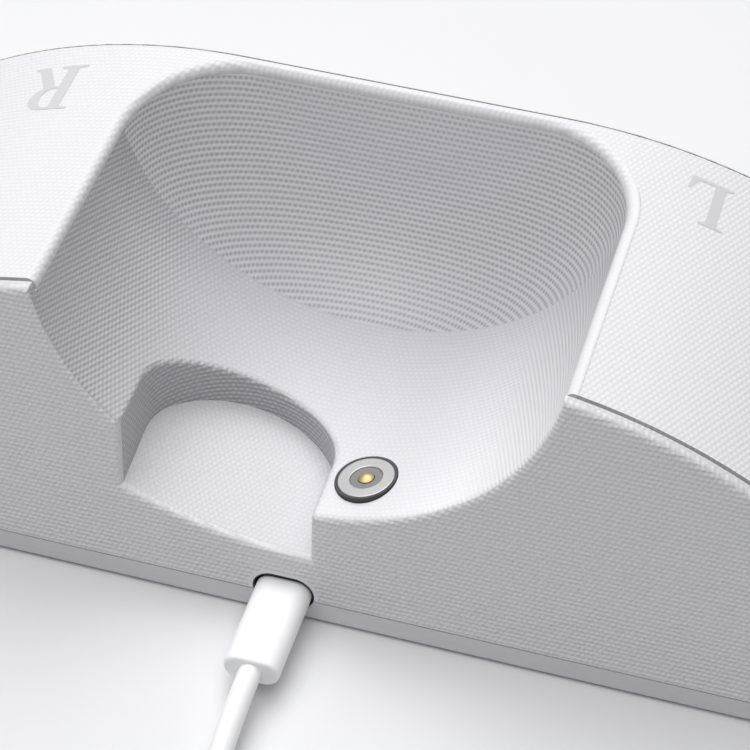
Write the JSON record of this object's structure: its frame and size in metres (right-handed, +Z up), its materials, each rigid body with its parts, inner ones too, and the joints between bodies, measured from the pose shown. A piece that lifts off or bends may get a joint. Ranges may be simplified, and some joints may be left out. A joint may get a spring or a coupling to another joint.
{
  "type": "charging dock",
  "caption": "Arched white charging dock with a cup-shaped cradle open to one side, a round sprung charging contact in the cradle's floor and a cable in its port.",
  "frame": {"origin": "on the table, under the middle of the housing", "axes": "+X along the dock's length, +Y towards the user side, -Y the port wall, +Z up"},
  "size_m": [0.2362, 0.1849, 0.0641],
  "materials": {
    "housing": "fine moulded weave texture, satin",
    "cover": "fine moulded weave texture, satin",
    "base": "smooth satin moulding",
    "foot_rubber": "matt pad",
    "screw_steel": "zinc plated",
    "board_laminate": "solder mask",
    "socket_steel": "plated sheet",
    "tongue_plastic": "moulded",
    "chip_plastic": "moulded package",
    "ferrite": "sintered",
    "can_aluminium": "drawn can",
    "header_plastic": "moulded",
    "contact_black": "moulded",
    "contact_silver": "turned and plated",
    "insulator_grey": "moulded",
    "magnet_nickel": "nickel plated",
    "contact_gold": "gold plated",
    "spring_steel": "drawn wire",
    "nut_brass": "turned",
    "lead_red": "insulated wire",
    "lead_black": "insulated wire",
    "cable_white": "soft satin sheath",
    "tie_grey": "soft strap"
  },
  "bodies": {
    "dock": {"body_shell": "housing", "top_cover": "cover", "base_plate": "base", "foot_port_left": "foot_rubber", "foot_port_right": "foot_rubber", "foot_user_left": "foot_rubber", "foot_user_right": "foot_rubber", "base_screws": "screw_steel", "cover_screws": "screw_steel", "main_board": "board_laminate", "usb_socket_shell": "socket_steel", "usb_socket_tongue": "tongue_plastic", "port_liner": "tongue_plastic", "power_chip": "chip_plastic", "power_coil": "ferrite", "input_capacitor": "can_aluminium", "output_capacitor": "can_aluminium", "lead_header": "header_plastic", "contact_sleeve": "contact_black", "contact_ring": "contact_silver", "contact_nut": "nut_brass", "ring_magnet": "magnet_nickel", "contact_insulator": "insulator_grey", "contact_barrel": "contact_gold", "pin_spring": "spring_steel", "contact_disc": "board_laminate", "lead_negative": "lead_black", "lead_positive": "lead_red", "plug_mould": "cable_white", "plug_tip": "socket_steel", "charge_cord": "cable_white", "cord_coil": "cable_white", "cord_tie": "tie_grey", "cord_tail": "cable_white", "far_plug_mould": "cable_white", "far_plug_shell": "socket_steel"},
    "plunger": {"contact_pin": "contact_gold"}
  },
  "joints": [
    {"name": "pin_press", "type": "slide", "parent": "dock", "child": "plunger", "axis": [0.2318, -0.0819, -0.9693], "range_m": [0, 0.0005], "stiffness_N_per_m": 300, "springref_m": -0.0007, "deforming": ["pin_spring"]}
  ]
}
